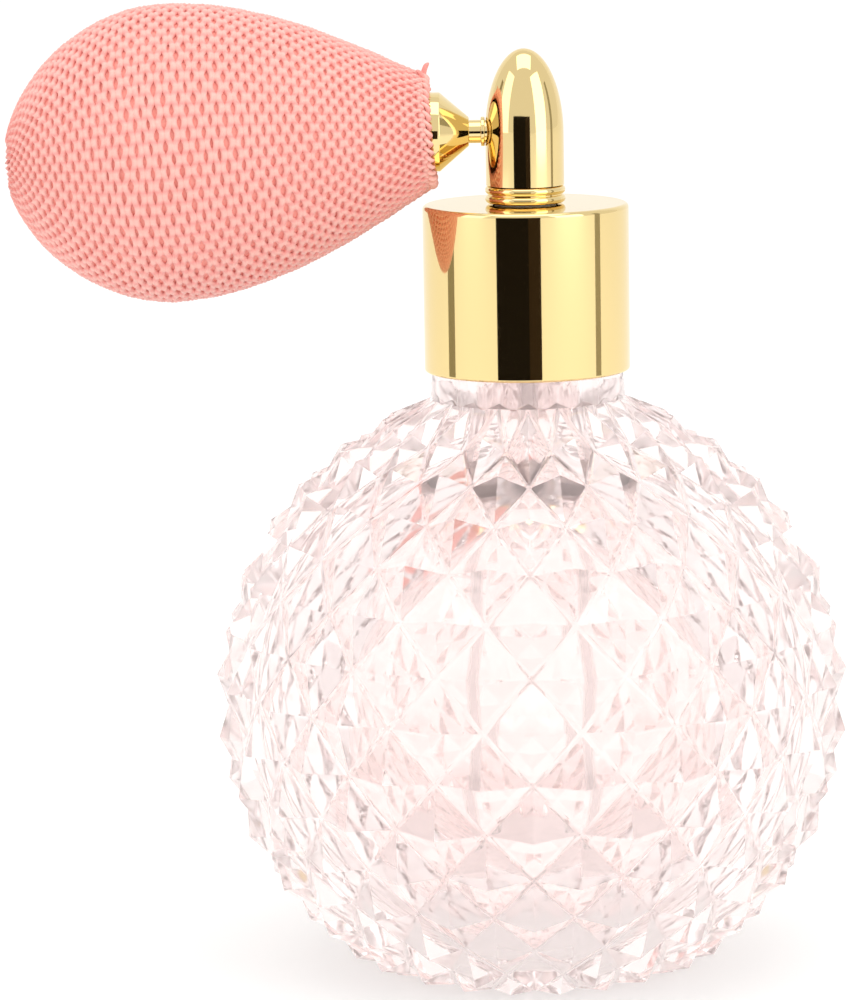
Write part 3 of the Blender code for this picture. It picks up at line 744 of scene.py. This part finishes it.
def cover_radius(distance):
    """The cover's outer radius at a distance from its gathered front edge."""
    if distance < belly_at:
        swell = math.sin(math.pi / 2 * distance / belly_at)
        return cover_neck + (cover_belly - cover_neck) * swell
    share = min(1.0, (distance - belly_at) / (cover_length - belly_at))
    return cover_belly * (1 - share**1.85) ** (1 / 1.85)


def squash_with_bulb(piece):
    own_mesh(piece)


def belly_outline(inset, start, end, steps=40):
    """The bulb's outline drawn in by an inset, from one distance to another near the tail."""
    points = []
    for step in range(steps + 1):
        distance = start + (end - start) * math.sin(math.pi / 2 * step / steps)
        points.append((max(cover_radius(distance) - inset, 0.5 * mm), cover_start + distance))
    return points


latex = Finish("bulb_rubber", Subsurface_Weight=0.1, IOR=1.52)
latex_bloom = latex.cloud(5 * mm, 4.0)
latex_material = latex.feed(
    Base_Color=latex.blend(latex_bloom, (0.30, 0.13, 0.075), (0.38, 0.18, 0.11)),
    Roughness=latex_bloom * 0.2 + 0.4,
    Normal=latex.bump(latex.cloud(0.5 * mm, 3.0), 0.02 * mm, 0.6),
)
knit_depth = 1.8 * mm
rubber_wall = 1.7 * mm
rubber_neck = 4.0 * mm
neck_wall = 0.9 * mm
sleeve_length = 7.4 * mm
sleeve_start = cover_start - 1.0 * mm
sleeve_end_at = sleeve_start + sleeve_length
belly_start = sleeve_end_at - cover_start + 3.0 * mm
valve_at = cover_length - 3.1 * mm
belly_outside = belly_outline(knit_depth, belly_start, valve_at)
belly_inside = belly_outline(knit_depth + rubber_wall, belly_start + 1 * mm, valve_at - 1.2 * mm)
belly_points = [(rubber_neck - neck_wall, sleeve_end_at), (rubber_neck, sleeve_end_at)]
belly_points += belly_outside + belly_inside[::-1]
belly = lathe("latex_belly", belly_points, 96)
belly.matrix_world = bulb_place
dress(belly, latex_material, "bulb", "bulb_rubber", "rubber_bulb", smooth=50)
squash_with_bulb(belly)

sleeve_points = []
for step in range(13):
    sleeve_points.append((rubber_neck, sleeve_start + sleeve_length * step / 12))
sleeve_points += [(rubber_neck - neck_wall, height) for _, height in sleeve_points[::-1]]
sleeve = lathe("latex_neck", sleeve_points, 64)
sleeve.matrix_world = bulb_place
dress(sleeve, latex_material, None, "bulb_rubber", "rubber_bulb")
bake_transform(sleeve)


# ---- Knit cover ----
# A stocking of soft cotton yarn, knitted round in an open mesh and drawn together at the
# funnel and at the tail. Each course waves to and fro, and leans on the one before.


def yarn_tubes(name, courses, thickness, sides):
    """Round yarns in one mesh; each course is a closed loop of (centre, up, side, crest for painted
    highlight).
    """
    points, faces, painted_light_shares = [], [], []
    for course in courses:
        first = len(points)
        count = len(course)
        for centre, up, side, crest in course:
            for k in range(sides):
                turn = 2 * math.pi * k / sides
                offset = up * math.cos(turn) + side * math.sin(turn)
                points.append(centre + offset * thickness)
                # Painted shade: the inner side of each yarn gets less of the pale highlight colour
                # than its outer side.
                painted_light_shares.append(crest * (0.75 + 0.25 * math.cos(turn)))
        for i in range(count):
            here, there = first + i * sides, first + (i + 1) % count * sides
            for k in range(sides):
                k2 = (k + 1) % sides
                faces.append((here + k, here + k2, there + k2, there + k))
    mesh = bpy.data.meshes.new(name)
    mesh.from_pydata(points, [], faces)
    mesh.attributes.new("crest", "FLOAT", "POINT").data.foreach_set("value", painted_light_shares)
    made = bpy.data.objects.new(name, mesh)
    bpy.context.scene.collection.objects.link(made)
    return made


cells = 38
course_step = 0.93 * mm
yarn_radius = 0.49 * mm
sway = 0.27 * mm
per_cell = 6


def uneven(around, number, grain):
    """Slow drift from -1 to 1 that differs from course to course, as hand tension does."""
    return noise.noise(Vector((math.cos(around), math.sin(around), number * 0.17)) * grain)


def knit_course(number, distance):
    """One course of the knitting, as frames along its middle."""
    count = cells * per_cell
    frames = []
    for i in range(count):
        around = 2 * math.pi * i / count
        wave = math.sin(cells * around + math.pi * number + 0.5 * uneven(around, number, 3.1))
        drift = uneven(around, number, 2.3)
        gather = math.exp(-distance / (9 * mm))
        reach = sway * (1 + 0.45 * uneven(around, number * 3, 5.3) + 0.5 * gather)
        shift = reach * wave + 0.3 * mm * drift
        at = min(max(distance + shift, 0.42 * mm), cover_length - 0.3 * mm)
        # The crest also paints the yarn paler where the course bulges out: a painted highlight.
        crest = abs(wave) ** 1.5
        lift = 0.16 * mm * (crest - 0.7) + 0.1 * mm * drift
        radius = max(cover_radius(at) - yarn_radius + lift, 0.4 * mm)
        slope = (cover_radius(at + 0.2 * mm) - cover_radius(at - 0.2 * mm)) / (0.4 * mm)
        radial = Vector((math.cos(around), math.sin(around), 0))
        normal = (radial - Vector((0, 0, slope))).normalized()
        tangent = Vector((-math.sin(around), math.cos(around), 0))
        across = normal.cross(tangent).normalized()
        centre = radial * radius + Vector((0, 0, cover_start + at))
        frames.append((centre, normal, across, crest))
    return frames


def knit_distances():
    """Distances of the courses from the front edge, evenly spaced along the cover's surface."""
    distances = []
    at = 0.5 * mm
    while at < cover_length - 1.0 * mm:
        distances.append(at)
        slope = (cover_radius(at + 0.3 * mm) - cover_radius(at - 0.3 * mm)) / (0.6 * mm)
        at += course_step / math.sqrt(1 + min(slope * slope, 12))
    return distances


def yarn_finish(name, deep, middle, pale):
    """Soft spun cotton with painted highlight and shade: crests and outer sides pale, tucked
    stretches deep, fibres as bump.
    """
    made = Finish(name, Roughness=0.85, Sheen_Weight=0.25, Sheen_Roughness=0.4)
    crest = made.add("ShaderNodeAttribute", {"attribute_name": "crest"}, output=2)
    fibres = made.cloud(0.22 * mm, 4.0, 0.7)
    dye = made.cloud(5 * mm, 2.0)
    low = made.blend(dye, deep, middle)
    # Painted highlight from the crest share, mixed with the fibres' random tone.
    share = crest * 0.75 + fibres * 0.5 - 0.12
    fluff = made.bump(made.cloud(0.6 * mm, 3.0), 0.10 * mm, 0.5)
    return made.feed(
        Base_Color=made.blend(share, low, pale),
        Normal=made.bump(fibres, 0.08 * mm, 0.7, under=fluff),
    )


yarn_material = yarn_finish(
    "pink_yarn", (0.85, 0.28, 0.25), (0.90, 0.36, 0.33), (0.945, 0.57, 0.495)
)
courses = [knit_course(n, at) for n, at in enumerate(knit_distances())]
knit = yarn_tubes("knit_courses", courses, yarn_radius, 6)
knit.matrix_world = bulb_place
dress(knit, yarn_material, "bulb", "pink_yarn", "knit_cover", smooth=80)
squash_with_bulb(knit)


# ---- Cover lining ----
# The back loops of the knitting, seen only through the meshes: the same yarn in shadow, lying
# on the rubber.

lining_wall = 0.5 * mm
lining_depth = 0.6 * mm
lining_outline = belly_outline(lining_depth, 0.3 * mm, cover_length - 1.0 * mm)
lining_inside = belly_outline(lining_depth + lining_wall, 0.3 * mm, cover_length - 1.4 * mm)
backing = Finish("deep_pink_yarn", Roughness=0.95)
shade = backing.cloud(1.3 * mm, 2.0)
backing_material = backing.feed(
    Base_Color=backing.blend(shade, (0.87, 0.30, 0.25), (0.94, 0.47, 0.405)),
    Normal=backing.bump(backing.cloud(0.4 * mm, 4.0), 0.15 * mm, 0.8),
)
lining = lathe("cover_lining", lining_outline + lining_inside[::-1], 72)
lining.matrix_world = bulb_place
dress(lining, backing_material, "bulb", "pink_yarn", "knit_cover")
squash_with_bulb(lining)


# ---- Drawstring and hem ----
# The yarn that gathers the front edge: it winds over and under the last course all the way
# round, and its two cut ends stand out at the top.

hem_radius = 6.55 * mm
hem_at = cover_start - 0.1 * mm
string_radius = 0.36 * mm
hem_loops = 19


def hem_course(phase, rise):
    """One of two yarns that wind about each other along the hem."""
    frames = []
    count = hem_loops * 14
    for i in range(count):
        around = 2 * math.pi * i / count
        turn = hem_loops * around + phase
        drift = uneven(around, phase, 2.1)
        radius = hem_radius + rise * math.cos(turn) + 0.15 * mm * drift
        height = hem_at + rise * math.sin(turn) + 0.2 * mm * uneven(around, phase + 4, 3.3)
        radial = Vector((math.cos(around), math.sin(around), 0))
        centre = radial * radius + Vector((0, 0, height))
        # The last value paints the outward turns of the winding yarn paler: a painted highlight.
        frames.append((centre, radial, Vector((0, 0, 1)), 0.5 + 0.5 * math.cos(turn)))
    return frames


def loose_end(around, length, lean):
    """A short cut end of yarn that stands out of the hem and bends over."""
    rod = arc(0, length - string_radius, string_radius, 89.9, 0, 6)[1:]
    rod += [(string_radius, length * share) for share in (0.6, 0.4, 0.2, 0.0)]
    end = lathe("loose_end", [(0, length)] + rod + [(0, 0)], 10)
    for point in end.data.vertices:
        point.co.x += lean * (point.co.z / length) ** 2
    stand = Matrix.Rotation(around, 4, "Z") @ Matrix.Translation((hem_radius, 0, hem_at))
    end.matrix_world = bulb_place @ stand @ Matrix.Rotation(math.radians(90), 4, "Y")
    return end


hem = yarn_tubes("hem_yarns", [hem_course(p, 0.38 * mm) for p in (0, math.pi)], string_radius, 8)
hem.matrix_world = bulb_place
ends = [loose_end(0.12, 2.0 * mm, 0.7 * mm), loose_end(-0.2, 1.5 * mm, -0.6 * mm)]
bpy.ops.object.select_all(action="DESELECT")
for piece in (*ends, hem):
    piece.select_set(True)
bpy.context.view_layer.objects.active = hem
bpy.ops.object.join()
dress(hem, yarn_material, "bulb", "pink_yarn", "cover_drawstring", smooth=80)
squash_with_bulb(hem)
